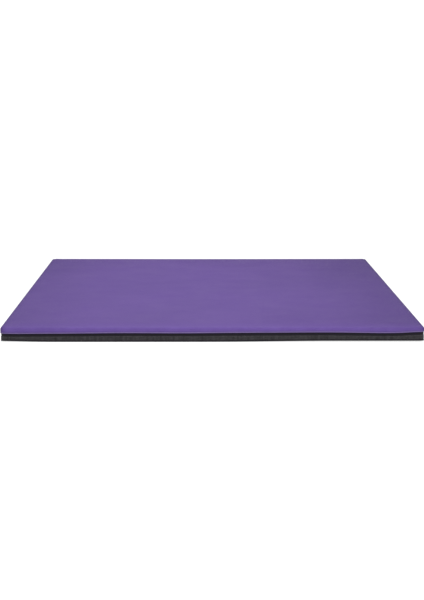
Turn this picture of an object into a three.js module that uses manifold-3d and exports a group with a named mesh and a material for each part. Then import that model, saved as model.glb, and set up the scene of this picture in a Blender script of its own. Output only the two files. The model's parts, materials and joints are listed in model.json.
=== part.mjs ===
// An incline wedge mat for gymnastics: a laminated foam wedge in a zipped, two-colour cover with carry handles.
//
// Millimetres, +Z up. The origin is on the floor under the middle of the mat. The slope climbs towards +Y, so the
// thin end faces -Y and the tall end, with the zip, faces +Y. X runs across the slope.
import * as THREE from "three";
import { RoundedBoxGeometry } from "three/addons/geometries/RoundedBoxGeometry.js";
import { mergeVertices } from "three/addons/utils/BufferGeometryUtils.js";
import Module from "manifold-3d";

const wasm = await Module();
wasm.setup();

// ---------------------------------------------------------------- driving dimensions

const WIDTH = 1524; // across the slope, over the purple lip
const LENGTH = 1829; // floor length from the thin end to the tall end
const LOW_END = 51; // height of the top surface at the thin end
const HIGH_END = 305; // height of the top surface at the tall end
const CORNER = 22; // plan radius of the cover's corners
const GAP = 0.3; // air between pieces that touch on the real mat

// Each cover piece is set in from the outline, and its top edge follows the slope at a drop below the top surface.
const VINYL = 1.5; // thickness of the top cover
const CLOTH = 1.2; // thickness of the side cloth
const LIP_DROP = 18; // how far the top cover turns down over the sides
const PIPING = 5; // height and depth of the piping bead under the lip
const TAPE_HEIGHT = 5; // the binding tape between the piping and the side cloth
const TAPE_INSET = 4;
const CLOTH_INSET = 2.5;
const HEM_HEIGHT = 2.6; // the binding round the bottom edge
const HEM_LIFT = 0.4;
const BASE_THICKNESS = 1.5; // the anti-slip base sheet

const PLANKS = 5; // glued foam planks under the landing sheet
const SHEET_THICKNESS = 25; // the firm landing sheet
const CORE_INSET = 5.6;
const CORE_BACK_RELIEF = 3; // the foam stops short of the zip by this much

const SIDE_RETURN = 26; // how far the end bands run round the corners on to the sides

const RISE = (HIGH_END - LOW_END) / LENGTH;
const PIPING_DROP = LIP_DROP + GAP;
const TAPE_DROP = PIPING_DROP + PIPING + GAP;
const CLOTH_DROP = TAPE_DROP + TAPE_HEIGHT + GAP;
const CLOTH_BASE = HEM_LIFT + HEM_HEIGHT + GAP;

// The zip runs across the tall end.
const ZIP_HEIGHT = 62; // of the zip's centre line above the floor
const ZIP_LENGTH = 1300;
const ZIP_OPENING = 22; // width of the slit between the two back panels
const ZIP_TAPE = { width: 16, thickness: 0.9 };
const ZIP_COIL = { height: 3, depth: 2.4, split: 2.6 }; // split is the gap between the two rows
const SLIDER = { length: 15, width: 11.6, plate: 1.3, post: 1.4 };
const PULL = { bar: 1.8, length: 34, width: 10, thickness: 1.6 };

// Two carry handles on each side.
const HANDLE = {
  places: [-110, 530], // along the mat, balanced about its centre of mass
  below: 45, // hinge line below the top surface
  span: 170, // between the middles of the legs
  drop: 85, // from the hinge line to the middle of the grip
  leg: 32, // width of the webbing
  grip: 18, // width of the folded webbing in the hand
  webbing: 2.4,
  bend: 24, // inner radius of the loop's bends
  hang: THREE.MathUtils.degToRad(2.5), // how far the loop hangs out from the wall
  tab: 54, // length of the sewn tab
  hingeOut: 4.8, // hinge line outside the side cloth
};
const SLEEVE = { length: 84, height: 25, depth: 10 };

// ---------------------------------------------------------------- materials

const material = (color, roughness, metalness = 0) =>
  new THREE.MeshStandardMaterial({ color, roughness, metalness });
const PURPLE_VINYL = material(0x745fa0, 0.5);
const CHARCOAL_CLOTH = material(0x3a383b, 0.85);
const BLACK_BINDING = material(0x1d1b1f, 0.8);
const BASE_SHEET = material(0x222124, 0.9);
const BLACK_WEBBING = material(0x1b1a1c, 0.85);
const RUBBER_SLEEVE = material(0x232225, 0.7);
const LANDING_FOAM = material(0xd9d8d4, 0.9);
const PLANK_FOAM = material(0xe9e8e2, 0.95);
const ZIP_NYLON = material(0x19181a, 0.55);
const ZIP_METAL = material(0x6f6e70, 0.35, 1);

// ---------------------------------------------------------------- shape helpers

// Height of the top surface at a place along the mat.
const topAt = (y) => LOW_END + RISE * (y + LENGTH / 2);

// The mat's outline in plan, set in by a distance, with round corners.
function outline(inset, path = new THREE.Shape(), backInset = inset) {
  const x = WIDTH / 2 - inset;
  const front = -LENGTH / 2 + inset;
  const back = LENGTH / 2 - backInset;
  const r = CORNER - inset;
  path.moveTo(-x + r, front);
  path.lineTo(x - r, front);
  path.absarc(x - r, front + r, r, -Math.PI / 2, 0);
  path.lineTo(x, back - r);
  path.absarc(x - r, back - r, r, 0, Math.PI / 2);
  path.lineTo(-x + r, back);
  path.absarc(-x + r, back - r, r, Math.PI / 2, Math.PI);
  path.lineTo(-x, front + r);
  path.absarc(-x + r, front + r, r, Math.PI, 1.5 * Math.PI);
  return path;
}

// A closed band of that plan, between two insets.
function ringShape(outer, inner) {
  const shape = outline(outer);
  shape.holes.push(outline(inner, new THREE.Path()));
  return shape;
}

function extrude(shape, depth, options = {}) {
  return new THREE.ExtrudeGeometry(shape, {
    depth,
    bevelEnabled: false,
    curveSegments: 6,
    ...options,
  });
}

// Lays flat geometry on the slope: its z = 0 becomes the plane that drop below the top surface, upright faces stay
// upright.
function onSlope(geometry, drop) {
  const shear = new THREE.Matrix4().set(
    1, 0, 0, 0,
    0, 1, 0, 0,
    0, RISE, 1, topAt(0) - drop,
    0, 0, 0, 1,
  );
  return geometry.applyMatrix4(shear);
}

function solidOf(geometry) {
  const bare = new THREE.BufferGeometry();
  bare.setAttribute("position", geometry.getAttribute("position"));
  bare.setIndex(geometry.index);
  const merged = mergeVertices(bare, 1e-4);
  return new wasm.Manifold(
    new wasm.Mesh({
      numProp: 3,
      vertProperties: new Float32Array(merged.getAttribute("position").array),
      triVerts: new Uint32Array(merged.index.array),
    }),
  );
}

function geometryOf(solid) {
  const mesh = solid.getMesh();
  const geometry = new THREE.BufferGeometry();
  geometry.setAttribute("position", new THREE.BufferAttribute(mesh.vertProperties, 3));
  geometry.setIndex(new THREE.BufferAttribute(mesh.triVerts, 1));
  geometry.computeVertexNormals();
  return geometry;
}

const box = (x, y, z, at = [0, 0, 0]) => new THREE.BoxGeometry(x, y, z).translate(...at);

// What lies under the plane that drop below the top surface.
function underSlope(drop) {
  const slab = extrude(outline(0), HIGH_END);
  return solidOf(onSlope(slab, drop + HIGH_END));
}

function mesh(name, geometry, look, place = [0, 0, 0]) {
  const made = new THREE.Mesh(geometry, look);
  made.name = name;
  made.position.set(...place);
  return made;
}

function group(...members) {
  const made = new THREE.Group();
  made.add(...members);
  return made;
}

// ---------------------------------------------------------------- foam core

function landingSheet() {
  const back = CORE_INSET + CORE_BACK_RELIEF;
  const flat = extrude(outline(CORE_INSET, new THREE.Shape(), back), SHEET_THICKNESS);
  return mesh("core_landing_sheet", onSlope(flat, VINYL + GAP + SHEET_THICKNESS), LANDING_FOAM);
}

function corePlanks() {
  const drop = VINYL + GAP + SHEET_THICKNESS + GAP;
  const bottom = BASE_THICKNESS + GAP;
  const back = CORE_INSET + CORE_BACK_RELIEF;
  const each = (topAt(LENGTH / 2 - back) - drop - bottom) / PLANKS;
  const below = underSlope(drop);
  const plan = outline(CORE_INSET, new THREE.Shape(), back);
  return Array.from({ length: PLANKS }, (_, i) => {
    const plank = extrude(plan, each - GAP).translate(0, 0, bottom + i * each);
    const cut = solidOf(plank).intersect(below);
    return mesh(`core_plank_${i + 1}`, geometryOf(cut), PLANK_FOAM);
  });
}

// ---------------------------------------------------------------- cover

// The purple top: a sheet on the slope with a lip turned down all round.
function coverTop() {
  const sheet = extrude(outline(0), LIP_DROP);
  const hollow = extrude(outline(VINYL), LIP_DROP).translate(0, 0, -VINYL);
  const tray = solidOf(sheet).subtract(solidOf(hollow));
  return mesh("cover_top", onSlope(geometryOf(tray), LIP_DROP), PURPLE_VINYL);
}

function coverPiping() {
  const bevel = 1.4;
  const bead = extrude(ringShape(bevel, PIPING - bevel), PIPING - 2 * bevel, {
    bevelEnabled: true,
    bevelThickness: bevel,
    bevelSize: bevel,
    bevelSegments: 2,
  }).translate(0, 0, bevel);
  return mesh("cover_piping", onSlope(bead, PIPING_DROP + PIPING), PURPLE_VINYL);
}

function bindingTape() {
  const tape = extrude(ringShape(TAPE_INSET, TAPE_INSET + CLOTH), TAPE_HEIGHT);
  return mesh("binding_tape", onSlope(tape, TAPE_DROP + TAPE_HEIGHT), BLACK_BINDING);
}

function baseHem() {
  const hem = extrude(ringShape(CLOTH_INSET, CORE_INSET - GAP), HEM_HEIGHT);
  return mesh("base_hem", hem, BLACK_BINDING, [0, 0, HEM_LIFT]);
}

function baseSheet() {
  return mesh("base_sheet", extrude(outline(CORE_INSET), BASE_THICKNESS), BASE_SHEET);
}

// The side cloth all round, from the hem up to the binding tape.
function wall() {
  const ring = extrude(ringShape(CLOTH_INSET, CLOTH_INSET + CLOTH), HIGH_END);
  return solidOf(ring.translate(0, 0, CLOTH_BASE)).intersect(underSlope(CLOTH_DROP));
}

// The wall is cut into four sewn pieces: an end band round each end, and a panel along each side.
function sideCloth() {
  const seam = LENGTH / 2 - SIDE_RETURN;
  const between = (y0, y1, x0 = -WIDTH, x1 = WIDTH, z0 = -1, z1 = 2 * HIGH_END) =>
    solidOf(box(x1 - x0, y1 - y0, z1 - z0, [(x0 + x1) / 2, (y0 + y1) / 2, (z0 + z1) / 2]));
  const whole = wall();
  const back = whole.intersect(between(seam + GAP, LENGTH));
  const slit = ZIP_OPENING / 2;
  const zipHalf = ZIP_LENGTH / 2;
  const opening = between(LENGTH / 2 - CORNER, LENGTH, -zipHalf, zipHalf, ZIP_HEIGHT - slit, ZIP_HEIGHT + slit);
  const lengthwise = [-seam, seam];
  return [
    mesh("front_band", geometryOf(whole.intersect(between(-LENGTH, -seam - GAP))), CHARCOAL_CLOTH),
    mesh("side_panel_left", geometryOf(whole.intersect(between(...lengthwise, -WIDTH, 0))), CHARCOAL_CLOTH),
    mesh("side_panel_right", geometryOf(whole.intersect(between(...lengthwise, 0, WIDTH))), CHARCOAL_CLOTH),
    mesh("back_panel", geometryOf(back.subtract(opening)), CHARCOAL_CLOTH),
  ];
}

// ---------------------------------------------------------------- zip

// Built round the zip's centre line, with x along the zip, y out of the cover and z up.
const PANEL_FACE = LENGTH / 2 - CLOTH_INSET;
const TAPE_FACE = -CLOTH - GAP; // outer face of the zip tape, from the panel's outer face
const COIL_FACE = TAPE_FACE + GAP + ZIP_COIL.depth;

function zipTapes() {
  const middle = (ZIP_COIL.split + ZIP_TAPE.width) / 2;
  const y = TAPE_FACE - ZIP_TAPE.thickness / 2;
  return [1, -1].map((side) =>
    mesh(
      side > 0 ? "zip_tape_upper" : "zip_tape_lower",
      box(ZIP_LENGTH + 20, ZIP_TAPE.thickness, ZIP_TAPE.width),
      ZIP_NYLON,
      [0, y, side * middle],
    ),
  );
}

function zipCoils() {
  const bevel = 0.6;
  const section = new THREE.Shape();
  const x = ZIP_COIL.depth / 2;
  const z = ZIP_COIL.height / 2;
  section.moveTo(-x, -z).lineTo(x - bevel, -z).lineTo(x, -z + bevel).lineTo(x, z - bevel);
  section.lineTo(x - bevel, z).lineTo(-x, z).closePath();
  // The section's x becomes the way out of the cover, and its y becomes up.
  const axes = new THREE.Matrix4().makeBasis(
    new THREE.Vector3(0, 1, 0),
    new THREE.Vector3(0, 0, 1),
    new THREE.Vector3(1, 0, 0),
  );
  const row = extrude(section, ZIP_LENGTH - 12).applyMatrix4(axes).translate(-(ZIP_LENGTH - 12) / 2, 0, 0);
  const middle = (ZIP_COIL.split + ZIP_COIL.height) / 2;
  return [1, -1].map((side) =>
    mesh(side > 0 ? "zip_coil_upper" : "zip_coil_lower", row.clone(), ZIP_NYLON, [
      0,
      TAPE_FACE + GAP + ZIP_COIL.depth / 2,
      side * middle,
    ]),
  );
}

// The slider's plates lie outside the coils and behind the tapes, with a post between the rows and a crown on top.
const SLIDER_START = -ZIP_LENGTH / 2 + 16;
const PLATE_Y = COIL_FACE + GAP + SLIDER.plate / 2;
const CROWN = { length: 10.5, width: 3.2, height: 3.4, bar: 1.1, root: 0.6 };
const BAR_Y = PLATE_Y + SLIDER.plate / 2 + 1.15;

function slider() {
  const under = TAPE_FACE - ZIP_TAPE.thickness - GAP - SLIDER.plate / 2;
  const plate = (y) =>
    solidOf(new RoundedBoxGeometry(SLIDER.length, SLIDER.plate, SLIDER.width, 1, 0.5).translate(0, y, 0));
  const post = solidOf(box(3.2, PLATE_Y - under, SLIDER.post, [-SLIDER.length / 2 + 2.4, (PLATE_Y + under) / 2, 0]));
  const top = PLATE_Y + SLIDER.plate / 2;
  const arch = new RoundedBoxGeometry(CROWN.length, CROWN.height + CROWN.root, CROWN.width, 1, 0.9);
  const crown = solidOf(arch.translate(0, top + (CROWN.height - CROWN.root) / 2, 0));
  const clear = CROWN.height - CROWN.bar;
  const window = solidOf(box(CROWN.length - 2 * CROWN.bar, clear, 2 * CROWN.width, [0, top + clear / 2, 0]));
  const body = plate(PLATE_Y).add(plate(under)).add(post).add(crown.subtract(window));
  return mesh("zip_slider", geometryOf(body), ZIP_METAL);
}

// The pull: a frame whose cross bar lies under the crown, and a tab with a finger hole.
function pull() {
  const arm = 1.6;
  const frame = { length: 9, width: 8.4 };
  const tab = new THREE.Shape();
  const half = PULL.width / 2;
  const end = PULL.length - half;
  tab.moveTo(frame.length - 1, -frame.width / 2);
  tab.lineTo(frame.length + 4, -half).lineTo(end, -half);
  tab.absarc(end, 0, half, -Math.PI / 2, Math.PI / 2);
  tab.lineTo(frame.length + 4, half).lineTo(frame.length - 1, frame.width / 2).closePath();
  tab.holes.push(new THREE.Path().absarc(end - 1, 0, 2.4, 0, 2 * Math.PI, true));
  const flat = extrude(tab, PULL.thickness, { curveSegments: 10 })
    .translate(0, 0, -PULL.thickness / 2)
    .rotateX(-Math.PI / 2);
  const side = (z) => solidOf(box(frame.length, arm, arm, [frame.length / 2, 0, z]));
  const reach = frame.width / 2 - arm / 2;
  const bar = solidOf(new THREE.CylinderGeometry(PULL.bar / 2, PULL.bar / 2, frame.width, 12).rotateX(Math.PI / 2));
  const body = solidOf(flat).add(side(reach)).add(side(-reach)).add(bar);
  return mesh("zip_pull", geometryOf(body), ZIP_METAL);
}

function zipStop(name, x) {
  const height = ZIP_COIL.split + 2 * ZIP_COIL.height;
  const y = TAPE_FACE + GAP;
  const stop = new RoundedBoxGeometry(3, 3.2, height, 1, 0.7);
  return mesh(name, stop, ZIP_METAL, [x, y + 1.6, 0]);
}

// A small patch of side cloth sewn over each end of the zip.
function zipEndPatch(name, x) {
  const patch = new RoundedBoxGeometry(26, 1.1, ZIP_OPENING + 16, 1, 0.5);
  return mesh(name, patch, CHARCOAL_CLOTH, [x, GAP + 0.55, 0]);
}

function zip() {
  const end = ZIP_LENGTH / 2;
  const sliderGroup = group(slider(), group(pull()));
  sliderGroup.position.x = SLIDER_START;
  sliderGroup.children[1].position.y = BAR_Y;
  const made = group(
    ...zipTapes(),
    ...zipCoils(),
    sliderGroup,
    zipStop("zip_stop_left", -end + 4),
    zipStop("zip_stop_right", end - 4),
    zipEndPatch("zip_end_patch_left", -end - 11),
    zipEndPatch("zip_end_patch_right", end + 11),
  );
  made.position.set(0, PANEL_FACE, ZIP_HEIGHT);
  return made;
}

// ---------------------------------------------------------------- carry handles

// The loop lies in the plane of x along the mat and y up, with the hinge line at y = 0.
function loopShape() {
  const outer = (HANDLE.span + HANDLE.leg) / 2;
  const inner = (HANDLE.span - HANDLE.leg) / 2;
  const r = HANDLE.bend;
  const x = inner - r;
  const y = -HANDLE.drop + HANDLE.grip / 2 + r;
  const [wide, deep] = [r + HANDLE.leg, r + HANDLE.grip];
  const shape = new THREE.Shape();
  shape.moveTo(outer, 0);
  shape.absellipse(x, y, wide, deep, 0, -Math.PI / 2, true);
  shape.absellipse(-x, y, wide, deep, -Math.PI / 2, -Math.PI, true);
  shape.lineTo(-outer, 0).lineTo(-inner, 0);
  shape.absellipse(-x, y, r, r, Math.PI, 1.5 * Math.PI, false);
  shape.absellipse(x, y, r, r, 1.5 * Math.PI, 2 * Math.PI, false);
  shape.lineTo(inner, 0).closePath();
  return shape;
}

// Turns a flat shape's x along the mat and its y up, with its thickness centred on x = 0.
function upright(geometry, thickness) {
  return geometry.translate(0, 0, -thickness / 2).rotateX(Math.PI / 2).rotateZ(Math.PI / 2);
}

function gripSleeve(name) {
  const hole = { depth: HANDLE.webbing + 2 * GAP, height: HANDLE.grip + 2 * GAP };
  const outer = new RoundedBoxGeometry(SLEEVE.depth, SLEEVE.length, SLEEVE.height, 3, 4);
  const tube = solidOf(outer).subtract(solidOf(box(hole.depth, SLEEVE.length + 2, hole.height)));
  return mesh(name, geometryOf(tube), RUBBER_SLEEVE, [0, 0, -HANDLE.drop]);
}

function handle(label, side, y) {
  const hinge = topAt(y) - HANDLE.below;
  const face = WIDTH / 2 - CLOTH_INSET;
  const tabs = [-1, 1].map((end) => {
    const tab = new RoundedBoxGeometry(HANDLE.webbing, HANDLE.leg, HANDLE.tab, 1, 0.6);
    const place = [side * (face + GAP + HANDLE.webbing / 2), y + (end * HANDLE.span) / 2, hinge - HANDLE.tab / 2];
    return mesh(`handle_${label}_tab_${end < 0 ? "low" : "high"}`, tab, BLACK_WEBBING, place);
  });
  const loop = upright(extrude(loopShape(), HANDLE.webbing, { curveSegments: 8 }), HANDLE.webbing);
  const swinging = group(
    mesh(`handle_${label}_loop`, loop, BLACK_WEBBING),
    gripSleeve(`handle_${label}_grip`),
  );
  swinging.position.set(side * (face + HANDLE.hingeOut), y, hinge);
  swinging.rotation.y = -side * HANDLE.hang;
  return group(...tabs, swinging);
}

function handles() {
  const sides = [
    ["left", -1],
    ["right", 1],
  ];
  const ends = ["front", "rear"];
  return sides.flatMap(([word, side]) =>
    HANDLE.places.map((y, i) => handle(`${word}_${ends[i]}`, side, y)),
  );
}

// ---------------------------------------------------------------- the mat

const mat = group(
  group(landingSheet(), ...corePlanks()),
  group(coverTop(), coverPiping(), bindingTape(), ...sideCloth(), baseHem(), baseSheet()),
  zip(),
  ...handles(),
);

export default mat;
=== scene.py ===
"""Looks of an incline wedge mat: padded vinyl top, woven side wall, zip across the tall end, four handles.

Metres, +Z up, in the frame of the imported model. X runs across the slope, which climbs towards +Y.
"""
import json
import math
from functools import partialmethod

import bmesh
import bpy
import numpy as np
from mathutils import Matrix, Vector, noise
from mathutils.bvhtree import BVHTree

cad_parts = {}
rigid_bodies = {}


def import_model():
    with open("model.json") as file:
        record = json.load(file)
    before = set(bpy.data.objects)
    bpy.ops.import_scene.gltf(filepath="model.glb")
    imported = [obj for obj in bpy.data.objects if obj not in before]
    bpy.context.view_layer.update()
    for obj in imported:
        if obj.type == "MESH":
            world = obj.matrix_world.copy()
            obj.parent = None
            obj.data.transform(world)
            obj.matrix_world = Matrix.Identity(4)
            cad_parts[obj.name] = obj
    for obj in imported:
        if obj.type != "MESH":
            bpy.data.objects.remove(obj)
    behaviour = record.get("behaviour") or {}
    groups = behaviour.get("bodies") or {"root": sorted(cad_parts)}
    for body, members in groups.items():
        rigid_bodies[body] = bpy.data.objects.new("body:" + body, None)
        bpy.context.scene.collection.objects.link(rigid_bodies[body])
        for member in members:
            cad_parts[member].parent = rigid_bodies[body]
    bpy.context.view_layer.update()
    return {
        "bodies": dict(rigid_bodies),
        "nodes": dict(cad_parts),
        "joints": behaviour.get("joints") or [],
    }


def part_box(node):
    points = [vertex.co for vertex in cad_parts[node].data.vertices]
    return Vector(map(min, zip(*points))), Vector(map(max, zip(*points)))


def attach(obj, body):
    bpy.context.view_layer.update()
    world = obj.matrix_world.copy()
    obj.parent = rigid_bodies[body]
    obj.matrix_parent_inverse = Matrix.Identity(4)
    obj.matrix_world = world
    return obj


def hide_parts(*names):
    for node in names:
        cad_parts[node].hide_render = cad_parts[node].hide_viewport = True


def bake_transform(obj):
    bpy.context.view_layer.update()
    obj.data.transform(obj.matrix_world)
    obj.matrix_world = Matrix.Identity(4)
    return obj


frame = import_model()

MM = 0.001
SQUARE = [(-1, -1), (1, -1), (1, 1), (-1, 1)]  # its corners, in order

# ---- sizes

COVER_LOW, COVER_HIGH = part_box("cover_top")
HALF_X, HALF_Y = COVER_HIGH[0], COVER_HIGH[1]
CORNER = 22 * MM  # plan radius of the mat's corners
LIP = 18 * MM  # how far the top turns down over the sides
THIN_END = COVER_LOW[2] + LIP
SLOPE = (COVER_HIGH[2] - THIN_END) / (2 * HALF_Y)

ROLL = 7.5 * MM  # radius of the top's edge
VINYL = 1.4 * MM
CLOTH = 1.2 * MM
LIP_DROP = 16.4 * MM  # where the lip meets the bead, below the top surface
PIPE_DROP, PIPE_RADIUS = 18.7 * MM, 2.4 * MM  # the bead's middle
TAPE_DROP, TAPE_HALF = 25.95 * MM, 5.05 * MM  # the binding tape's middle, and half its width
WALL_DROP = 29.9 * MM  # the side cloth's top edge
WALL_INSET = 2.5 * MM
HEM_BASE, HEM_TOP = 0.1 * MM, 4.6 * MM

SIDE_A = HALF_X - CORNER  # half the straight part of each end
SIDE_B = HALF_Y - CORNER  # half the straight part of each long side
ARC = math.pi * CORNER / 2
ROUND = 4 * (SIDE_A + SIDE_B + ARC)  # once round the mat
RETURN = 4 * MM  # how far the end bands run on past the corners
CORNER_STEP = 5 * MM  # the widest spacing of points round a corner

# How a used mat leaves its drawn lines.
TOP_DIP, DIP_START = 0.7 * MM, -0.3  # the top's dip at the tall end, and the y where it begins
SEAM_WAVES = [(2.15, 3, 2, 0.72), (0.85, 8, 3, -1.42), (0.3, 17, 11, 0.5)]  # mm, rate in x and y, phase
SEAM_RAISE, SEAM_TILT = 0.6, -0.7  # mm, and mm per metre towards the right
PULL, PULL_REACH = 3.2, 65  # the seam's rise at a corner, and how far off it is felt, both in mm
MORE_PULL, MORE_REACH = 2.2, 20  # more on the right, less on the left
CURL, CURL_REACH = 3.2 * MM, 100 * MM  # the bottom edge's curl at each corner
BOW = 3.5 * MM  # the bottom edge's rise on the right of the thin end
BOW_RUN, BOW_FADE = 0.43, 0.5  # how far right until it is full, and up the slope until it ends


def smooth(t):
    """0 to 1 as t goes from 0 to 1, level at both ends."""
    t = np.clip(t, 0, 1)
    return t * t * (3 - 2 * t)


def top_z(y):
    return THIN_END + SLOPE * (y + HALF_Y)


def sag(x, y):
    """The top dips a little in the middle of the tall end."""
    return -TOP_DIP * np.cos(np.pi * x / (2 * HALF_X)) ** 2 * smooth((y - DIP_START) / (HALF_Y - DIP_START))


def corner_distance(x, y):
    return np.hypot(HALF_X - np.abs(x), HALF_Y - np.abs(y))


def wander(x, y):
    """How far the seam strays above its line: waves, a tilt, and a pull at each corner."""
    waves = sum(high * np.sin(a * x + b * (y + HALF_Y) + phase) for high, a, b, phase in SEAM_WAVES)
    side = np.sign(x)
    reach = (PULL_REACH + MORE_REACH * side) * MM
    pull = (PULL + MORE_PULL * side) * np.exp(-((corner_distance(x, y) / reach) ** 2))
    return (SEAM_RAISE + SEAM_TILT * x + waves + pull) * MM


def lift(x, y):
    """How far the bottom edge leaves the floor: a curl at each corner, a rise at the front's right."""
    curl = CURL * np.exp(-((corner_distance(x, y) / CURL_REACH) ** 2))
    bow = BOW * smooth(x / BOW_RUN) * smooth(1 - (y + HALF_Y) / BOW_FADE)
    return np.maximum(curl, bow)


# ---- the outline


def at(s):
    """Points and outward normals on the outline, s metres round from the thin side's left end."""
    s = np.mod(np.asarray(s, float), ROUND)
    points, normals = np.zeros((len(s), 2)), np.zeros((len(s), 2))
    centres = [(SIDE_A, -SIDE_B), (SIDE_A, SIDE_B), (-SIDE_A, SIDE_B), (-SIDE_A, -SIDE_B)]
    begin = 0.0
    for k, centre in enumerate(centres):
        side = 2 * (SIDE_A if k % 2 == 0 else SIDE_B)
        facing = math.radians(90 * k - 90)
        along = np.clip(s - begin - side, -side, 0)
        angle = facing + np.clip(s - begin - side, 0, ARC) / CORNER
        normal = np.stack([np.cos(angle), np.sin(angle)], 1)
        tangent = np.array([-math.sin(facing), math.cos(facing)])
        here = s >= begin  # the next side writes over what lies beyond this one
        points[here] = (np.array(centre) + CORNER * normal + along[:, None] * tangent)[here]
        normals[here] = normal[here]
        begin += side + ARC
    return points, normals


def samples(start, end, step, extra=()):
    """Places from start to end, closer round the corners, with one at each of extra."""
    corners, begin = [], -ROUND
    while begin < 2 * ROUND:
        for side in (2 * SIDE_A, 2 * SIDE_B):
            corners.append((begin + side, begin + side + ARC))
            begin += side + ARC
    marks = sorted({start, end, *extra, *(c for pair in corners for c in pair if start < c < end)})
    places = []
    for a, b in zip(marks, marks[1:]):
        turning = any(low <= (a + b) / 2 <= high for low, high in corners)
        count = math.ceil((b - a) / (min(step, CORNER_STEP) if turning else step))
        places.extend(np.linspace(a, b, count, endpoint=False))
    return np.array([*places, end])


def once_round(step):
    return samples(0, ROUND, step)[:-1]


def row(s, out, z):
    """A row of points, out metres outside the outline, at given heights or at z(x, y)."""
    points, normals = at(s)
    xy = points + np.reshape(out, (-1, 1)) * normals
    height = z(xy[:, 0], xy[:, 1]) if callable(z) else np.broadcast_to(z, len(xy))
    return np.column_stack([xy, height])


def under_top(drop):
    """Heights a given drop below the top, following the seam's wander."""
    return lambda x, y: top_z(y) - drop + sag(x, y) + wander(x, y)


def depth_inside(x, y):
    """Distance in from the outline."""
    dx, dy = np.abs(x) - SIDE_A, np.abs(y) - SIDE_B
    in_corner = (dx > 0) & (dy > 0)
    return np.where(in_corner, CORNER - np.hypot(dx, dy), np.minimum(CORNER - dx, CORNER - dy))


def outwards(x, y):
    """The outward direction in plan near the outline, and nothing further in."""
    out = np.column_stack([x - np.clip(x, -SIDE_A, SIDE_A), y - np.clip(y, -SIDE_B, SIDE_B)])
    return out / np.maximum(np.linalg.norm(out, axis=1), 1e-6)[:, None]


# ---- mesh making


def loft(rows, closed, wrap=False):
    """Points and quads through rows. Closed rows join their ends; wrap joins the last row to the first."""
    count = len(rows[0])
    faces = []
    for r in range(len(rows) if wrap else len(rows) - 1):
        a, b = r * count, (r + 1) % len(rows) * count
        for i in range(count if closed else count - 1):
            j = (i + 1) % count
            faces.append((a + i, a + j, b + j, b + i))
    return np.concatenate(rows), faces


def tube(rings):
    """A closed tube through rings, with a face over each end."""
    points, faces = loft(rings, closed=True)
    count = len(rings[0])
    ends = [tuple(range(count - 1, -1, -1)), tuple(range(len(points) - count, len(points)))]
    return points, faces + ends


def bar(lines):
    """A closed bar from lines along its length, with a face over each end."""
    points, faces = loft(lines, closed=False, wrap=True)
    count = len(lines[0])
    return points, faces + [tuple(r * count + end for r in range(len(lines))) for end in (0, count - 1)]


def grid_faces(across, up):
    """Quads over a grid that is numbered along its rows."""
    starts = [r * across + i for r in range(up - 1) for i in range(across - 1)]
    return [(i, i + 1, i + across + 1, i + across) for i in starts]


def grid_rim(across, up):
    """The points round a grid's edge, in order."""
    last = (up - 1) * across
    right = range(2 * across - 1, last, across)
    return [*range(across), *right, *range(last + across - 1, last, -1), *range(last, 0, -across)]


def joined(parts):
    """Several (points, faces) as one."""
    points, faces, base = [], [], 0
    for part_points, part_faces in parts:
        points.append(part_points)
        faces.extend(tuple(base + i for i in f) for f in part_faces)
        base += len(part_points)
    return np.concatenate(points), faces


def lay_uv(mesh, uv, lap):
    """A UV map in metres, a pair for each point. On a ring the last faces run on past one lap."""
    places = uv[[loop.vertex_index for loop in mesh.loops]]
    if lap:
        along = places[:, 0].reshape(-1, 4)
        over = (np.ptp(along, axis=1) > lap / 2)[:, None] & (along < lap / 2)
        places[:, 0] = (along + over * lap).ravel()
    mesh.uv_layers.new(name="UVMap").data.foreach_set("uv", places.astype(np.float32).ravel())


def in_scene(name, data):
    made = bpy.data.objects.new(name, data)
    bpy.context.scene.collection.objects.link(made)
    return made


def piece(name, shape, material, body="mat", stands_for=(), uv=None, lap=0.0):
    """A new object with a material, riding on a body unless body is None.

    It stands for the nodes given, or else for the node its name says without its last word.
    """
    points, faces = shape
    mesh = bpy.data.meshes.new(name)
    mesh.from_pydata([tuple(p) for p in points], [], faces)
    mesh.materials.append(MATERIALS[material])
    even = bmesh.new()
    even.from_mesh(mesh)
    bmesh.ops.recalc_face_normals(even, faces=even.faces)
    even.to_mesh(mesh)
    even.free()
    if uv is not None:
        lay_uv(mesh, uv, lap)
    mesh.shade_smooth()
    made = in_scene(name, mesh)
    if body:
        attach(made, body)
    node = name.rpartition("_")[0]
    if stands_for or node in frame["nodes"]:
        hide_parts(*(stands_for or [node]))
    return made


def thicken(made, thickness):
    """Gives a skin its thickness inwards, with a closed rim."""
    solidify = made.modifiers.new("Solidify", "SOLIDIFY")
    solidify.thickness = thickness
    solidify.offset = -1
    graph = bpy.context.evaluated_depsgraph_get()
    made.data = bpy.data.meshes.new_from_object(made.evaluated_get(graph))
    made.modifiers.clear()
    return made


def turn_faces(skin, outward):
    """Turns an open skin's faces over if most of their area looks against outward(face)."""
    mesh = bmesh.new()
    mesh.from_mesh(skin.data)
    if sum(f.normal.dot(outward(f)) * f.calc_area() for f in mesh.faces) < 0:
        bmesh.ops.reverse_faces(mesh, faces=mesh.faces)
    mesh.to_mesh(skin.data)
    mesh.free()


def points_of(made):
    flat = np.zeros(len(made.data.vertices) * 3)
    made.data.vertices.foreach_get("co", flat)
    return flat.reshape(-1, 3)


def set_points(made, points):
    made.data.vertices.foreach_set("co", points.ravel())
    made.data.update()


def unit(vectors):
    return vectors / np.linalg.norm(vectors, axis=-1, keepdims=True)


def way_along(points):
    """How far along a line of points each one is."""
    return np.concatenate([[0], np.cumsum(np.linalg.norm(np.diff(points, axis=0), axis=1))])


def ripple(a, b, seed=0.0):
    """Smooth noise between -1 and 1 at each pair of places."""
    return np.array([noise.noise(Vector((u, v, seed))) for u, v in zip(a, b)])


# ---- materials

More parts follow.
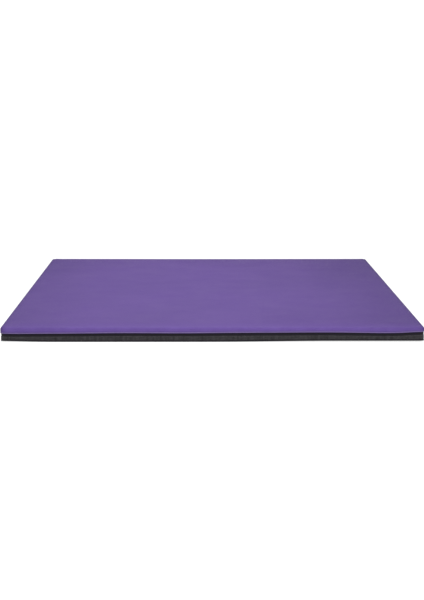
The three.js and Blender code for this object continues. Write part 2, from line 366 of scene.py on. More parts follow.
MATERIALS = {}
SLOTS = {
    "vinyl": "purple_vinyl", "piping": "purple_vinyl",
    "cloth": "charcoal_cloth", "base": "base_sheet",
    "binding": "black_binding", "thread": "black_binding",
    "webbing": "black_webbing", "rubber": "rubber_sleeve",
    "landing foam": "landing_foam", "plank foam": "plank_foam",
    "zip tape": "zip_nylon", "zip coil": "zip_nylon", "zip metal": "zip_metal",
}

# Each pair is where a mask of wear, painted sheen or painted shade is nothing and where it is full.
ENTRY_RIM = (95 * MM, 20 * MM)  # in from the thin end
ENTRY_LIP = (20 * MM, 14 * MM)  # down its lip
SHADE_RIM = (22 * MM, 3 * MM)  # in from the sides and the tall end
SIDE_SHADE_RUN = (0.45, 0.8)  # out from the middle of the top, for the painted side shade
SIDE_SHADE_MIDDLE = -0.04

CLOTH_THREAD = 1.9 * MM  # pitches of the woven parts
BINDING_RIB = 1.1 * MM
TWILL, WEBBING_CORD = 1.5 * MM, 2.1 * MM
ZIP_RIB, ZIP_THREAD = 1.3 * MM, 0.9 * MM
VINYL_PEBBLES, BASE_DOTS = 520, 160  # to the metre


def rgb(r, g, b):
    return (r, g, b, 1.0)


def set_inputs(node, **values):
    for name, value in values.items():
        node.inputs[name.replace("_", " ")].default_value = value


class Finish:
    """A procedural material under construction."""

    def __init__(self, key, **sockets):
        material = MATERIALS[key] = bpy.data.materials.new(SLOTS[key] + "_" + key.replace(" ", "_"))
        material.use_nodes = True
        self.tree = material.node_tree
        self.shader = self.tree.nodes["Principled BSDF"]
        set_inputs(self.shader, **sockets)
        self.place = self.add("TexCoord").outputs["Object"]

    def add(self, kind, inputs=None, **settings):
        made = self.tree.nodes.new("ShaderNode" + kind)
        for name, value in settings.items():
            setattr(made, name, value)
        for name, value in (inputs or {}).items():
            if isinstance(value, bpy.types.NodeSocket):
                self.tree.links.new(value, made.inputs[name])
            else:
                made.inputs[name].default_value = value
        return made

    def calc(self, operation, *values):
        return self.add("Math", dict(enumerate(values)), operation=operation).outputs[0]

    plus = partialmethod(calc, "ADD")
    minus = partialmethod(calc, "SUBTRACT")
    times = partialmethod(calc, "MULTIPLY")

    def noise(self, scale, detail=2, roughness=0.5):
        """Noise at one scale, or at one for each axis."""
        place = self.place
        if isinstance(scale, tuple):
            place, scale = self.add("Mapping", {"Vector": place, "Scale": scale}).outputs[0], 1.0
        values = {"Scale": scale, "Detail": detail, "Roughness": roughness, "Vector": place}
        return self.add("TexNoise", values).outputs["Fac"]

    def cells(self, scale, randomness, **settings):
        values = {"Vector": self.place, "Scale": scale, "Randomness": randomness}
        return self.add("TexVoronoi", values, **settings).outputs["Distance"]

    def ramp(self, value, *limits):
        """Maps the first two limits on to 0 and 1, or on to two more."""
        return self.add("MapRange", dict(enumerate((value, *limits)))).outputs[0]

    def mix(self, factor, a, b):
        return self.add("Mix", {0: factor, 6: a, 7: b}, data_type="RGBA").outputs[2]

    def surface(self, color, roughness, height, distance, strength):
        """Ends the material: colour, roughness, and a bump of a given height in metres."""
        bump = self.add("Bump", {"Height": height, "Distance": distance, "Strength": strength}).outputs[0]
        for value, name in ((color, "Base Color"), (roughness, "Roughness"), (bump, "Normal")):
            self.tree.links.new(value, self.shader.inputs[name])

    def xyz(self):
        return self.add("SeparateXYZ", {0: self.place}).outputs

    def woven_places(self):
        """Along and across a woven strip, in metres, from its UV map."""
        return self.add("SeparateXYZ", {0: self.add("UVMap").outputs[0]}).outputs[:2]

    def wave(self, value, pitch):
        """A sine along value that changes sign at every pitch."""
        return self.calc("SINE", self.times(value, math.pi / pitch))

    def ribs(self, value, pitch):
        """Rounded ribs, 0 in the grooves and 1 on the crests."""
        return self.calc("ABSOLUTE", self.wave(value, pitch))

    def weave(self, across, up, pitch):
        """A plain weave's height: upright threads over and under level ones."""
        over = self.ramp(self.times(self.wave(across, pitch), self.wave(up, pitch)), -0.12, 0.12)
        upright = self.times(self.calc("POWER", self.ribs(across, pitch), 0.6), over)
        level = self.times(self.calc("POWER", self.ribs(up, pitch), 0.6), self.minus(1.0, over))
        return self.plus(upright, level)

    def entry_wear_and_sheen(self, amount):
        """Where feet step on and off, worn and with a painted sheen: the thin end's rim and the start of its
        lip.
        """
        _, y, z = self.xyz()
        drop = self.minus(self.plus(self.times(y, SLOPE), top_z(0)), z)
        rim = self.ramp(y, *(inset - HALF_Y for inset in ENTRY_RIM))
        patchy = self.ramp(self.noise(24, 5, 0.6), 0.35, 0.65, 0.6, 1.0)
        return self.times(self.times(self.times(rim, self.ramp(drop, *ENTRY_LIP)), patchy), amount)

    def rim_shade(self, amount):
        """Painted shade along the rolled edge of both sides and the tall end, where it rolls away from the
        light.
        """
        x, y, _ = self.xyz()
        inset = self.calc("MINIMUM", self.minus(HALF_X, self.calc("ABSOLUTE", x)), self.minus(HALF_Y, y))
        patchy = self.ramp(self.noise(31, 5, 0.65), 0.35, 0.65, 0.7, 1.0)
        return self.times(self.times(self.ramp(inset, *SHADE_RIM), patchy), amount)

    def side_falloff_shade(self, amount):
        """Painted shade: the strips towards both sides darker, standing in for light falling off."""
        return self.ramp(self.calc("ABSOLUTE", self.minus(self.xyz()[0], SIDE_SHADE_MIDDLE)), *SIDE_SHADE_RUN, 0, amount)


def make_vinyl():
    f = Finish("vinyl", Roughness=0.62, Specular_IOR_Level=0.03)
    deep, bright, blue = rgb(0.0715, 0.0395, 0.163), rgb(0.081, 0.0447, 0.180), rgb(0.0695, 0.0415, 0.171)
    side_shade_tone, scuffed_sheen_tone = rgb(0.046, 0.027, 0.112), rgb(0.14, 0.092, 0.29)
    rim_shade_tone, groove_shade = rgb(0.040, 0.027, 0.082), rgb(0.033, 0.017, 0.082)
    tone = f.mix(f.ramp(f.noise(2.6, 3), 0.3, 0.7), deep, bright)
    tone = f.mix(f.ramp(f.noise(38, 4), 0.35, 0.65, 0, 0.2), tone, blue)
    # painted shade: the top darker towards both sides
    tone = f.mix(f.side_falloff_shade(0.35), tone, side_shade_tone)
    streak = f.noise((9, 60, 60), 5, 0.65)
    # scuff streaks, and wear with a painted sheen on the thin end's rolled edge
    scuff_and_sheen = f.plus(f.ramp(streak, 0.62, 0.8, 0, 0.14), f.entry_wear_and_sheen(0.33))
    tone = f.mix(scuff_and_sheen, tone, scuffed_sheen_tone)
    # painted shade along the rolled edge of the sides and the tall end
    tone = f.mix(f.rim_shade(0.45), tone, rim_shade_tone)
    pebble = f.ramp(f.cells(VINYL_PEBBLES, 0.9, feature="DISTANCE_TO_EDGE"), 0.0, 0.35)
    worn = f.plus(f.ramp(f.noise(7, 5), 0.3, 0.7, 0.6, 0.66), f.times(scuff_and_sheen, 0.5))
    # painted shade in the grain's grooves
    color = f.mix(f.ramp(pebble, 0, 1, 0.16, 0), tone, groove_shade)
    rough = f.minus(worn, f.times(pebble, 0.05))
    f.surface(color, rough, f.plus(pebble, f.times(f.noise(1500, 2), 0.4)), 0.3 * MM, 0.9)


def make_piping():
    """The same vinyl pulled tight, so shinier."""
    f = Finish("piping", Roughness=0.5, Specular_IOR_Level=0.5)
    deep, bright = rgb(0.068, 0.040, 0.146), rgb(0.082, 0.050, 0.168)
    color = f.mix(f.ramp(f.noise(30, 4), 0.3, 0.7), deep, bright)
    rough = f.ramp(f.noise(60, 4), 0.3, 0.7, 0.44, 0.56)
    f.surface(color, rough, f.noise(900, 3), 0.08 * MM, 0.5)


def make_cloth():
    f = Finish("cloth", Roughness=0.9, Specular_IOR_Level=0.2, Sheen_Weight=0.08, Sheen_Roughness=0.5)
    hollow_shade, dark, light = rgb(0.006, 0.0056, 0.0066), rgb(0.0095, 0.0087, 0.0099), rgb(0.0355, 0.033, 0.0372)
    threads = f.weave(*f.woven_places(), CLOTH_THREAD)
    level = f.noise((45, 45, 260), 3, 0.7)
    upright = f.noise((220, 220, 18), 3, 0.7)
    tone = f.mix(f.ramp(f.plus(level, upright), 0.78, 1.24), dark, light)
    # painted shade in the hollows between threads
    color = f.mix(threads, hollow_shade, tone)
    rough = f.ramp(threads, 0, 1, 0.97, 0.82)
    f.surface(color, rough, f.plus(threads, f.times(f.noise(2600, 2), 0.35)), 0.35 * MM, 0.8)


def make_binding():
    f = Finish("binding", Roughness=0.85, Specular_IOR_Level=0.15, Sheen_Weight=0.05)
    dark, light = rgb(0.003, 0.0023, 0.0048), rgb(0.014, 0.0115, 0.0185)
    ribs = f.ribs(f.woven_places()[0], BINDING_RIB)
    fuzz = f.noise(900, 3)
    # painted shade in the grooves between ribs, with random fuzz
    color = f.mix(f.times(ribs, fuzz), dark, light)
    rough = f.ramp(fuzz, 0.3, 0.7, 0.78, 0.95)
    f.surface(color, rough, f.plus(ribs, f.times(fuzz, 0.4)), 0.25 * MM, 0.7)


def make_base():
    f = Finish("base", Roughness=0.9, Specular_IOR_Level=0.3)
    sheet, dot, dust = rgb(0.016, 0.015, 0.018), rgb(0.026, 0.025, 0.029), rgb(0.06, 0.056, 0.052)
    dots = f.ramp(f.cells(BASE_DOTS, 0.0, voronoi_dimensions="2D"), 0.42, 0.3)
    color = f.mix(f.ramp(f.noise(5, 5), 0.45, 0.75, 0, 0.35), f.mix(dots, sheet, dot), dust)
    rough = f.ramp(dots, 0, 1, 0.95, 0.7)
    f.surface(color, rough, f.plus(dots, f.times(f.noise(1200, 2), 0.2)), 0.4 * MM, 0.9)


def make_webbing():
    f = Finish("webbing", Roughness=0.85, Specular_IOR_Level=0.3, Sheen_Weight=0.15)
    hollow_shade, raised, lint = rgb(0.005, 0.005, 0.006), rgb(0.027, 0.026, 0.029), rgb(0.05, 0.048, 0.05)
    along, across = f.woven_places()
    slant = f.plus(along, f.times(f.calc("ABSOLUTE", across), 0.55))
    cords = f.ramp(f.ribs(across, WEBBING_CORD), 0, 1, 0.45, 1)
    height = f.times(f.calc("POWER", f.ribs(slant, TWILL), 0.7), cords)
    fuzz = f.noise(1400, 3)
    # painted shade in the hollows of the twill, the raised cords in their own colour
    color = f.mix(f.ramp(fuzz, 0.55, 0.75, 0, 0.3), f.mix(height, hollow_shade, raised), lint)
    rough = f.ramp(fuzz, 0.3, 0.7, 0.75, 0.92)
    f.surface(color, rough, f.plus(height, f.times(fuzz, 0.3)), 0.35 * MM, 0.9)


def make_moulded(key, specular, scale, dark, light, spread, gloss, bump):
    """A moulded part: one noise gives its two tones and its gloss."""
    f = Finish(key, Roughness=0.5, Specular_IOR_Level=specular)
    cloudy = f.noise(scale, 4)
    color = f.mix(f.ramp(cloudy, *spread), dark, light)
    f.surface(color, f.ramp(cloudy, 0.3, 0.7, *gloss), f.noise(*bump[:2]), bump[2] * MM, bump[3])


def make_thread():
    f = Finish("thread", Roughness=0.6, Specular_IOR_Level=0.4, Sheen_Weight=0.1)
    twist = f.noise((1600, 1600, 900))
    color = f.mix(twist, rgb(0.01, 0.009, 0.012), rgb(0.045, 0.042, 0.05))
    rough = f.ramp(twist, 0.3, 0.7, 0.5, 0.7)
    f.surface(color, rough, twist, 0.15 * MM, 0.8)


def make_foam(key, light, dark, cells):
    """Foam with a given number of cells to the metre."""
    f = Finish(key, Roughness=0.95, Specular_IOR_Level=0.2)
    pits = f.ramp(f.cells(cells, 1.0), 0.1, 0.6)
    color = f.mix(f.times(pits, f.noise(9, 4)), light, dark)
    rough = f.ramp(pits, 0, 1, 0.98, 0.86)
    f.surface(color, rough, f.plus(pits, f.noise(cells * 2.5, 2)), 0.3 * MM, 0.7)


def make_zip_tape():
    f = Finish("zip tape", Roughness=0.85, Specular_IOR_Level=0.25)
    across, up = f.woven_places()
    height = f.times(f.ribs(up, ZIP_RIB), f.ramp(f.ribs(across, ZIP_THREAD), 0, 1, 0.5, 1))
    # painted shade in the grooves between ribs and threads
    color = f.mix(height, rgb(0.004, 0.004, 0.005), rgb(0.02, 0.019, 0.022))
    rough = f.ramp(f.noise(700, 3), 0.3, 0.7, 0.78, 0.93)
    f.surface(color, rough, height, 0.25 * MM, 0.8)


def make_zip_metal():
    f = Finish("zip metal", Metallic=1.0, Roughness=0.35)
    dark, light, rubbed = rgb(0.16, 0.16, 0.165), rgb(0.23, 0.225, 0.23), rgb(0.33, 0.325, 0.32)
    scratch = f.noise((300, 1900, 1900), 5, 0.7)
    tone = f.mix(f.ramp(scratch, 0.4, 0.7), dark, light)
    color = f.mix(f.ramp(f.noise(140, 5), 0.4, 0.75), tone, rubbed)
    rough = f.ramp(scratch, 0.3, 0.75, 0.25, 0.48)
    f.surface(color, rough, scratch, 0.03 * MM, 0.6)


for make in (make_vinyl, make_piping, make_cloth, make_binding, make_base, make_webbing, make_thread):
    make()
make_foam("landing foam", rgb(0.70, 0.69, 0.66), rgb(0.5, 0.49, 0.47), 900)
make_foam("plank foam", rgb(0.80, 0.79, 0.74), rgb(0.55, 0.54, 0.5), 320)
RUBBER = (rgb(0.013, 0.0125, 0.014), rgb(0.026, 0.025, 0.028))
NYLON = (rgb(0.012, 0.012, 0.014), rgb(0.04, 0.039, 0.043))
make_moulded("rubber", 0.45, 60, *RUBBER, (0, 1), (0.5, 0.72), (1700, 3, 0.12, 0.6))
make_moulded("zip coil", 0.5, 240, *NYLON, (0.45, 0.8), (0.32, 0.52), (2500, 2, 0.05, 0.5))
make_zip_tape()
make_zip_metal()

# ---- the padded top

RIM_LINES = np.array([0, 0.5, 1.5, 3.1, 5.2, 7.8, 11, 16, CORNER / MM]) * MM  # grid lines in from each edge
TOP_CELL = 12 * MM
LIP_BULGE = [(0.25, 0.35), (0.5, 0.4), (0.72, 0.2), (0.88, -0.2), (1.0, -1.0)]  # share of its drop, mm out
SWELL_RIM, SWELL_MIDDLE = 0.8 * MM, 2.4 * MM  # the most that the cloth may swell
SWELL_RUN = 0.25  # in from the rim, to where it may swell most
SWELL_FRAMES = 14
VINYL_CLOTH = {
    "quality": 4, "mass": 0.4, "tension_stiffness": 25, "compression_stiffness": 25, "shear_stiffness": 12,
    "bending_stiffness": 6, "use_pressure": True, "uniform_pressure_force": 4,
}
FOLD, DENT = 0.7 * MM, 0.3 * MM  # depth of the lip's puckers and of the top's dents
DENT_RUN = 0.06  # in from the rim, to where dents are full


def edge_places(half, cell):
    """Grid lines: close together at each edge, then one cell apart."""
    middle = np.linspace(-half + CORNER, half - CORNER, round(2 * (half - CORNER) / cell) + 1)
    return np.concatenate([-half + RIM_LINES[:-1], middle, (half - RIM_LINES[:-1])[::-1]])


def rounded(x, y):
    """Moves the square corners of a grid on to the mat's round corners."""
    s = np.clip((np.abs(x) - SIDE_A) / CORNER, 0, 1)
    t = np.clip((np.abs(y) - SIDE_B) / CORNER, 0, 1)
    in_x = np.where(s * t > 0, SIDE_A + CORNER * s * np.sqrt(1 - t * t / 2), np.abs(x))
    in_y = np.where(s * t > 0, SIDE_B + CORNER * t * np.sqrt(1 - s * s / 2), np.abs(y))
    return np.sign(x) * in_x, np.sign(y) * in_y


def plan_grid(cell):
    """A grid over the mat's outline: x, y, faces, and its rim."""
    xs, ys = edge_places(HALF_X, cell), edge_places(HALF_Y, cell)
    x, y = np.meshgrid(xs, ys)
    x, y = rounded(x.ravel(), y.ravel())
    return x, y, grid_faces(len(xs), len(ys)), grid_rim(len(xs), len(ys))


def lip_rows(rim_points):
    """Rows from the rim down to the seam, bulging a little."""
    x, y, start = rim_points.T
    out = outwards(x, y)
    seam = under_top(LIP_DROP)(x, y)
    rows = [(rim_points[:, :2] + bulge * MM * out, start * (1 - t) + seam * t) for t, bulge in LIP_BULGE]
    return [np.column_stack([xy, z]) for xy, z in rows]


def inflate(made, pinned, reach):
    """Swells a piece as cloth under pressure. Pinned points stay, and no point goes beyond its reach."""
    before = points_of(made)
    group = made.vertex_groups.new(name="pinned")
    group.add([int(i) for i in pinned], 1.0, "REPLACE")
    cloth = made.modifiers.new("Cloth", "CLOTH")
    for setting, value in VINYL_CLOTH.items():
        setattr(cloth.settings, setting, value)
    cloth.settings.effector_weights.gravity = 0
    cloth.settings.vertex_group_mass = group.name
    cloth.collision_settings.use_collision = False
    cloth.point_cache.frame_end = SWELL_FRAMES
    scene = bpy.context.scene
    for step in range(1, SWELL_FRAMES + 1):
        scene.frame_set(step)
    graph = bpy.context.evaluated_depsgraph_get()
    after = np.zeros(before.size)
    made.evaluated_get(graph).data.vertices.foreach_get("co", after)
    made.modifiers.remove(cloth)
    made.vertex_groups.remove(group)
    scene.frame_set(1)
    move = after.reshape(-1, 3) - before
    size = np.linalg.norm(move, axis=1)
    keep = reach * np.tanh(size / reach) / np.maximum(size, 1e-9)
    set_points(made, before + move * keep[:, None])


def pucker(skin):
    """Draws the lip into shallow folds at the seam, and dents the top here and there."""
    points = points_of(skin)
    x, y, z = points.T
    near = smooth((top_z(y) + sag(x, y) - z) / LIP_DROP)
    folds = ripple(x * 21, y * 21) * 0.9 + ripple(x * 55, y * 55, 3.0) * 0.45
    inward = smooth(depth_inside(x, y) / DENT_RUN)
    dents = (1 - near) * inward * DENT * ripple(x * 3.1, y * 2.3, 7.0)
    points[:, :2] += outwards(x, y) * (near * folds * FOLD)[:, None]
    points[:, 2] += dents
    set_points(skin, points)


def make_top():
    """The top's skin: out to its rim and down over the lip, swollen, puckered and thickened."""
    x, y, faces, rim = plan_grid(TOP_CELL)
    inside = np.clip(ROLL - depth_inside(x, y), 0, ROLL)
    z = top_z(y) + sag(x, y) - (ROLL - np.sqrt(np.maximum(ROLL**2 - inside**2, 0)))
    shape = np.column_stack([x, y, z])
    lip, lip_faces = loft([shape[rim], *lip_rows(shape[rim])], closed=True)
    count = len(rim)
    numbers = [*rim, *range(len(shape), len(shape) + len(lip) - count)]
    faces += [tuple(numbers[i] for i in f) for f in lip_faces]
    shape = np.concatenate([shape, lip[count:]])
    skin = piece("cover_top_vinyl", (shape, faces), "vinyl")
    points = points_of(skin)
    depth = depth_inside(points[:, 0], points[:, 1])
    reach = SWELL_RIM + (SWELL_MIDDLE - SWELL_RIM) * smooth(depth / SWELL_RUN)
    inflate(skin, range(len(points) - count, len(points)), reach)
    pucker(skin)
    thicken(skin, VINYL)


make_top()

# ---- piping, binding and hem

# Sections list (out, up) from a ring's line, in mm.
PIPE_SECTION = [
    (PIPE_RADIUS / MM * math.cos(a) - 2.0, PIPE_RADIUS / MM * math.sin(a))
    for a in (2 * math.pi * i / 12 for i in range(12))
]
TAPE_EDGE, TAPE_TURN = TAPE_HALF / MM, TAPE_HALF / MM - 0.6
TAPE_SECTION = [
    (-5.3, -TAPE_EDGE), (-4.5, -TAPE_EDGE), (-3.9, -TAPE_TURN), (-3.65, 0),
    (-3.9, TAPE_TURN), (-4.5, TAPE_EDGE), (-5.3, TAPE_EDGE),
]
HEM_HALF = (HEM_TOP - HEM_BASE) / 2 / MM
HEM_SECTION = [
    (-6.4, -HEM_HALF), (-5.2, -HEM_HALF), (-3.9, -1.85), (-2.85, -1.05), (-2.25, 0.0), (-2.05, 1.0),
    (-2.5, 1.9), (-3.0, HEM_HALF), (-6.4, HEM_HALF),
]
UNEVEN, UNEVEN_WAVES = 0.25, 14  # how far a ring strays, in mm, and how often to the metre

BASE_INSET, BASE_THICKNESS = 5.2 * MM, 1.4 * MM
BASE_CELL = 50 * MM
BASE_CURL = 70 * MM  # how far in the base follows the bottom edge's lift


def ring_piece(name, section, line, material, seed, step=8 * MM):
    """A closed cord or tape round the mat."""
    s = once_round(step)
    points, _ = at(s)
    uneven = ripple(points[:, 0] * UNEVEN_WAVES, points[:, 1] * UNEVEN_WAVES, seed) * UNEVEN
    rows = [row(s, (out + uneven) * MM, line(points[:, 0], points[:, 1]) + up * MM) for out, up in section]
    uv = np.concatenate([np.column_stack([s, np.full(len(s), up * MM)]) for _, up in section])
    piece(name, loft(rows, closed=True, wrap=True), material, uv=uv, lap=ROUND)


def make_base_sheet():
    """The underside: flat on the floor, curling up with the bottom edge."""
    x, y, faces, _ = plan_grid(BASE_CELL)
    rise = lift(x, y) * smooth(1 - depth_inside(x, y) / BASE_CURL)
    shape = np.column_stack([x * (1 - BASE_INSET / HALF_X), y * (1 - BASE_INSET / HALF_Y), rise])
    skin = piece("base_sheet_dotted", (shape, faces), "base")
    turn_faces(skin, lambda face: Vector((0, 0, -1)))
    thicken(skin, BASE_THICKNESS)


ring_piece("cover_piping_bead", PIPE_SECTION, under_top(PIPE_DROP), "piping", 1.0, 7 * MM)
ring_piece("binding_tape_sewn", TAPE_SECTION, under_top(TAPE_DROP), "binding", 2.0)
ring_piece("base_hem_sewn", HEM_SECTION, lambda x, y: (HEM_BASE + HEM_TOP) / 2 + lift(x, y), "binding", 3.0)
make_base_sheet()

# ---- side cloth

ZIP_Z = (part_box("zip_tape_lower")[0][2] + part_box("zip_tape_upper")[1][2]) / 2
ZIP_HALF = 650 * MM
SLIT = 11 * MM  # half the height of the opening for the zip

BACK_MIDDLE = 2 * SIDE_A + 2 * SIDE_B + 2 * ARC + SIDE_A
FRONT_END = 2 * SIDE_A + ARC + RETURN
BACK_START = 2 * SIDE_A + ARC + 2 * SIDE_B - RETURN
BACK_END = 4 * SIDE_A + 3 * ARC + 2 * SIDE_B + RETURN
SEAMS = {
    "front_band": (-ARC - RETURN, FRONT_END),
    "side_panel_right": (FRONT_END, BACK_START),
    "back_panel": (BACK_START, BACK_END),
    "side_panel_left": (BACK_END, ROUND - ARC - RETURN),
}
WALL_CELL = 10 * MM
EDGE = np.array([0, 0.6, 1.6, 3.2]) * MM  # rows close to an edge that rolls in
TURN_IN, TURN_RUN = 0.9 * MM, 3.0 * MM  # how far a sewn edge turns inwards, and over what width
HEM_LAP = 0.6 * MM  # how far the hem covers the cloth's bottom edge
SLIT_FADE = 12 * MM  # beyond the zip's ends, to where its slit is no longer felt
BULGES = [(0.5 * MM, 30 * MM), (0.4 * MM, 8 * MM)]  # how far the cloth bulges, and over what run from an edge
SOFT_FOLD, SOFT_RUN = 0.6 * MM, 12 * MM


def roll_in(distance):
    """How far cloth turns inwards towards a sewn edge."""
    return -TURN_IN * (1 - smooth(distance / TURN_RUN))


def wall_heights(low, high, rows, slit):
    """Heights of the rows from hem to binding, and how far each is from a cut edge."""
    marks = [(low, high)] if slit is None else [(low, slit[0]), (slit[1], high)]
    heights, edges = [], []
    for bottom, top in marks:
        bottom, top = np.broadcast_arrays(bottom, top)
        body = [bottom + EDGE[-1] + (top - bottom - 2 * EDGE[-1]) * t for t in np.linspace(0, 1, rows)]
        run = [*(bottom + e for e in EDGE[:-1]), *body, *(top - e for e in EDGE[:-1][::-1])]
        heights += run
        edges += [np.minimum(z - bottom, top - z) for z in run]
    return heights, edges


def swell(s, z, edge, seed):
    """How far the cloth stands out, edge metres from its nearest seam."""
    bulge = sum(out * smooth(edge / run) for out, run in BULGES)
    folds = 0.7 * ripple(s * 7, z * 11, seed) + 0.3 * ripple(s * 24, z * 17, seed + 5)
    return bulge + smooth(edge / SOFT_RUN) * folds * SOFT_FOLD + roll_in(edge)


def wall(name, rows, seed, slit=None):
    """A panel of side cloth from hem to binding, with an opening between the slit's two heights."""
    start, end = SEAMS[name]
    extra = () if slit is None else (BACK_MIDDLE - ZIP_HALF, BACK_MIDDLE + ZIP_HALF)
    near = [start + e for e in EDGE[1:]] + [end - e for e in EDGE[1:]]
    s = samples(start, end, WALL_CELL, (*extra, *near))
    x, y = at(s)[0].T
    low, high = HEM_TOP - HEM_LAP + lift(x, y), under_top(WALL_DROP)(x, y)
    heights, edges = wall_heights(low, high, rows, slit)
    by_slit = 1 - smooth((np.abs(s - BACK_MIDDLE) - ZIP_HALF) / SLIT_FADE)
    turned = roll_in(np.minimum(s - start, end - s)) - WALL_INSET - 0.9 * MM
    lines = []
    for z, edge in zip(heights, edges):
        whole = np.minimum(z - low, high - z)
        lines.append(row(s, turned + swell(s, z, whole + (edge - whole) * by_slit, seed), z))
    shape, faces = loft(lines, closed=False)
    area = float(np.sum(np.diff(s) * ((high - low)[1:] + (high - low)[:-1]) / 2))
    if slit is not None:
        u, _, v = shape[np.array(faces)].mean(axis=1).T
        uncut = (np.abs(u) > ZIP_HALF) | (np.abs(v - ZIP_Z) > SLIT)
        faces = [f for f, kept in zip(faces, uncut) if kept]
        area -= 4 * ZIP_HALF * SLIT
    uv = np.concatenate([np.column_stack([s, z]) for z in heights])
    skin = piece(name + "_cloth", (shape, faces), "cloth", uv=uv)
    turn_faces(skin, lambda face: Vector((*face.calc_center_median().xy, 0)))
    thicken(skin, CLOTH)
    return skin


walls = {
    "front_band": wall("front_band", 6, 1.0),
    "side_panel_left": wall("side_panel_left", 12, 2.0),
    "side_panel_right": wall("side_panel_right", 12, 3.0),
    "back_panel": wall("back_panel", 9, 4.0, (ZIP_Z - SLIT, ZIP_Z + SLIT)),
}

# ---- stitching

THREAD = 0.42 * MM
STITCH, PITCH = 3.7 * MM, 5.2 * MM
# Share of a stitch's length, then its thickness and height in threads.
BEAD = ((0, 0.5, -0.5), (0.18, 0.95, 0.3), (0.5, 1, 0.55), (0.82, 0.95, 0.3), (1, 0.5, -0.5))
BEAD_ANGLES = np.arange(6) * math.pi / 3
SEAM_MARGIN = 4.5 * MM  # from a panel's end to the row beside its seam
TOP_MARGIN = 4 * MM  # from a panel's top edge to the row under the binding
ZIP_MARGIN = 3.6 * MM  # from the slit's edge to the row beside the zip


def stitch(start, end, normal):
    """A bead of thread that rises out of the cloth and dives back in."""
    along = end - start
    side = unit(np.cross(normal, along))
    ring = np.outer(np.cos(BEAD_ANGLES), side) + np.outer(np.sin(BEAD_ANGLES), normal)
    return tube([start + along * t + normal * THREAD * up + THREAD * size * ring for t, size, up in BEAD])


def stitch_row(guide, surface):
    """Stitches along a guide line, on the nearest part of a surface."""
    guide = np.asarray(guide, float)
    far = way_along(guide)
    count = max(1, int(far[-1] / PITCH))
    step = far[-1] / count
    made = []
    for begin in np.arange(count) * step + (step - STITCH) / 2:
        ends = [[np.interp(d, far, guide[:, k]) for k in range(3)] for d in (begin, begin + STITCH)]
        start, end = (surface.find_nearest(Vector(p)) for p in ends)
        made.append(stitch(np.array(start[0]), np.array(end[0]), np.array(start[1])))
    return made


def stitching(name, guides, on):
    """One piece of all the stitches along the guides, on another piece."""
    faces = [tuple(f.vertices) for f in on.data.polygons]
    surface = BVHTree.FromPolygons([tuple(v.co) for v in on.data.vertices], faces)
    piece(name, joined([bead for guide in guides for bead in stitch_row(guide, surface)]), "thread")


def wall_guides(name):
    """Rows on a wall: under the binding, beside its end seams, and along the zip's slit."""
    start, end = SEAMS[name]
    s = samples(start + SEAM_MARGIN, end - SEAM_MARGIN, 20 * MM)
    guides = [row(s, -WALL_INSET, under_top(WALL_DROP + TOP_MARGIN))]
    for place in (start + SEAM_MARGIN, end - SEAM_MARGIN):
        xy, _ = at([place])
        low = HEM_TOP + 4 * MM + lift(*xy[0])
        high = under_top(WALL_DROP + 5 * MM)(*xy[0])
        if high - low > 3 * PITCH:
            guides.append(row(np.full(8, place), -WALL_INSET, np.linspace(low, high, 8)))
    if name == "back_panel":
        s = np.linspace(BACK_MIDDLE - ZIP_HALF + 2 * MM, BACK_MIDDLE + ZIP_HALF - 2 * MM, 60)
        guides += [row(s, -WALL_INSET, ZIP_Z + side * (SLIT + ZIP_MARGIN)) for side in (-1, 1)]
    return guides


for wall_name, skin in walls.items():
    stitching(f"stitches_{wall_name}", wall_guides(wall_name), skin)

# ---- foam core

LANDING_PROFILE = [  # mm in from the outline, and mm below the top surface
    (20, 5.4), (15, 6.6), (11, 9.5), (8.9, 14), (8.4, 19), (8.4, 26.2), (9.2, 26.8), (20, 26.8),
]
PLANK_INSET = 2.6 * MM  # how far a plank is drawn in, clear of the cover
PLANK_EASE = 1.5 * MM  # bevel along its cut edges
PLANK_FLOOR = 5.2 * MM  # clear of the base sheet even where the bottom edge is lifted


def make_landing_sheet():
    """The firm sheet under the vinyl, its upper edge pressed round."""
    s = once_round(12 * MM)
    rows = [row(s, -inset * MM, lambda x, y, d=drop: top_z(y) - d * MM) for inset, drop in LANDING_PROFILE]
    piece("core_landing_sheet_foam", tube(rows), "landing foam")


def make_plank(name):
    """A plank: the model's own solid, clear of the cover, with its sharp edges eased."""
    mesh = bmesh.new()
    mesh.from_mesh(frame["nodes"][name].data)
    bmesh.ops.remove_doubles(mesh, verts=mesh.verts, dist=0.01 * MM)
    bmesh.ops.dissolve_limit(mesh, angle_limit=math.radians(2), verts=mesh.verts, edges=mesh.edges)
    sharp = [e for e in mesh.edges if e.is_manifold and e.calc_face_angle(0) > math.radians(30)]
    bevel = {"offset": PLANK_EASE, "segments": 2, "profile": 0.5, "clamp_overlap": True}
    bmesh.ops.bevel(mesh, geom=sharp, affect="EDGES", **bevel)
    shape = np.array([v.co for v in mesh.verts]) * (1 - PLANK_INSET / HALF_X, 1 - PLANK_INSET / HALF_Y, 1)
    shape[:, 2] = np.maximum(shape[:, 2], PLANK_FLOOR)
    faces = [tuple(v.index for v in f.verts) for f in mesh.faces]
    mesh.free()
    piece(name + "_foam", (shape, faces), "plank foam")


make_landing_sheet()
for node_name in sorted(n for n in frame["nodes"] if n.startswith("core_plank")):
    make_plank(node_name)

# ---- zip

TOOTH_PITCH = 2.5 * MM
TOOTH_TIP, TOOTH_ROOT = 0.6 * MM, 4.2 * MM  # past the zip's middle, and back from it
TOOTH_LEAN = 0.3 * MM
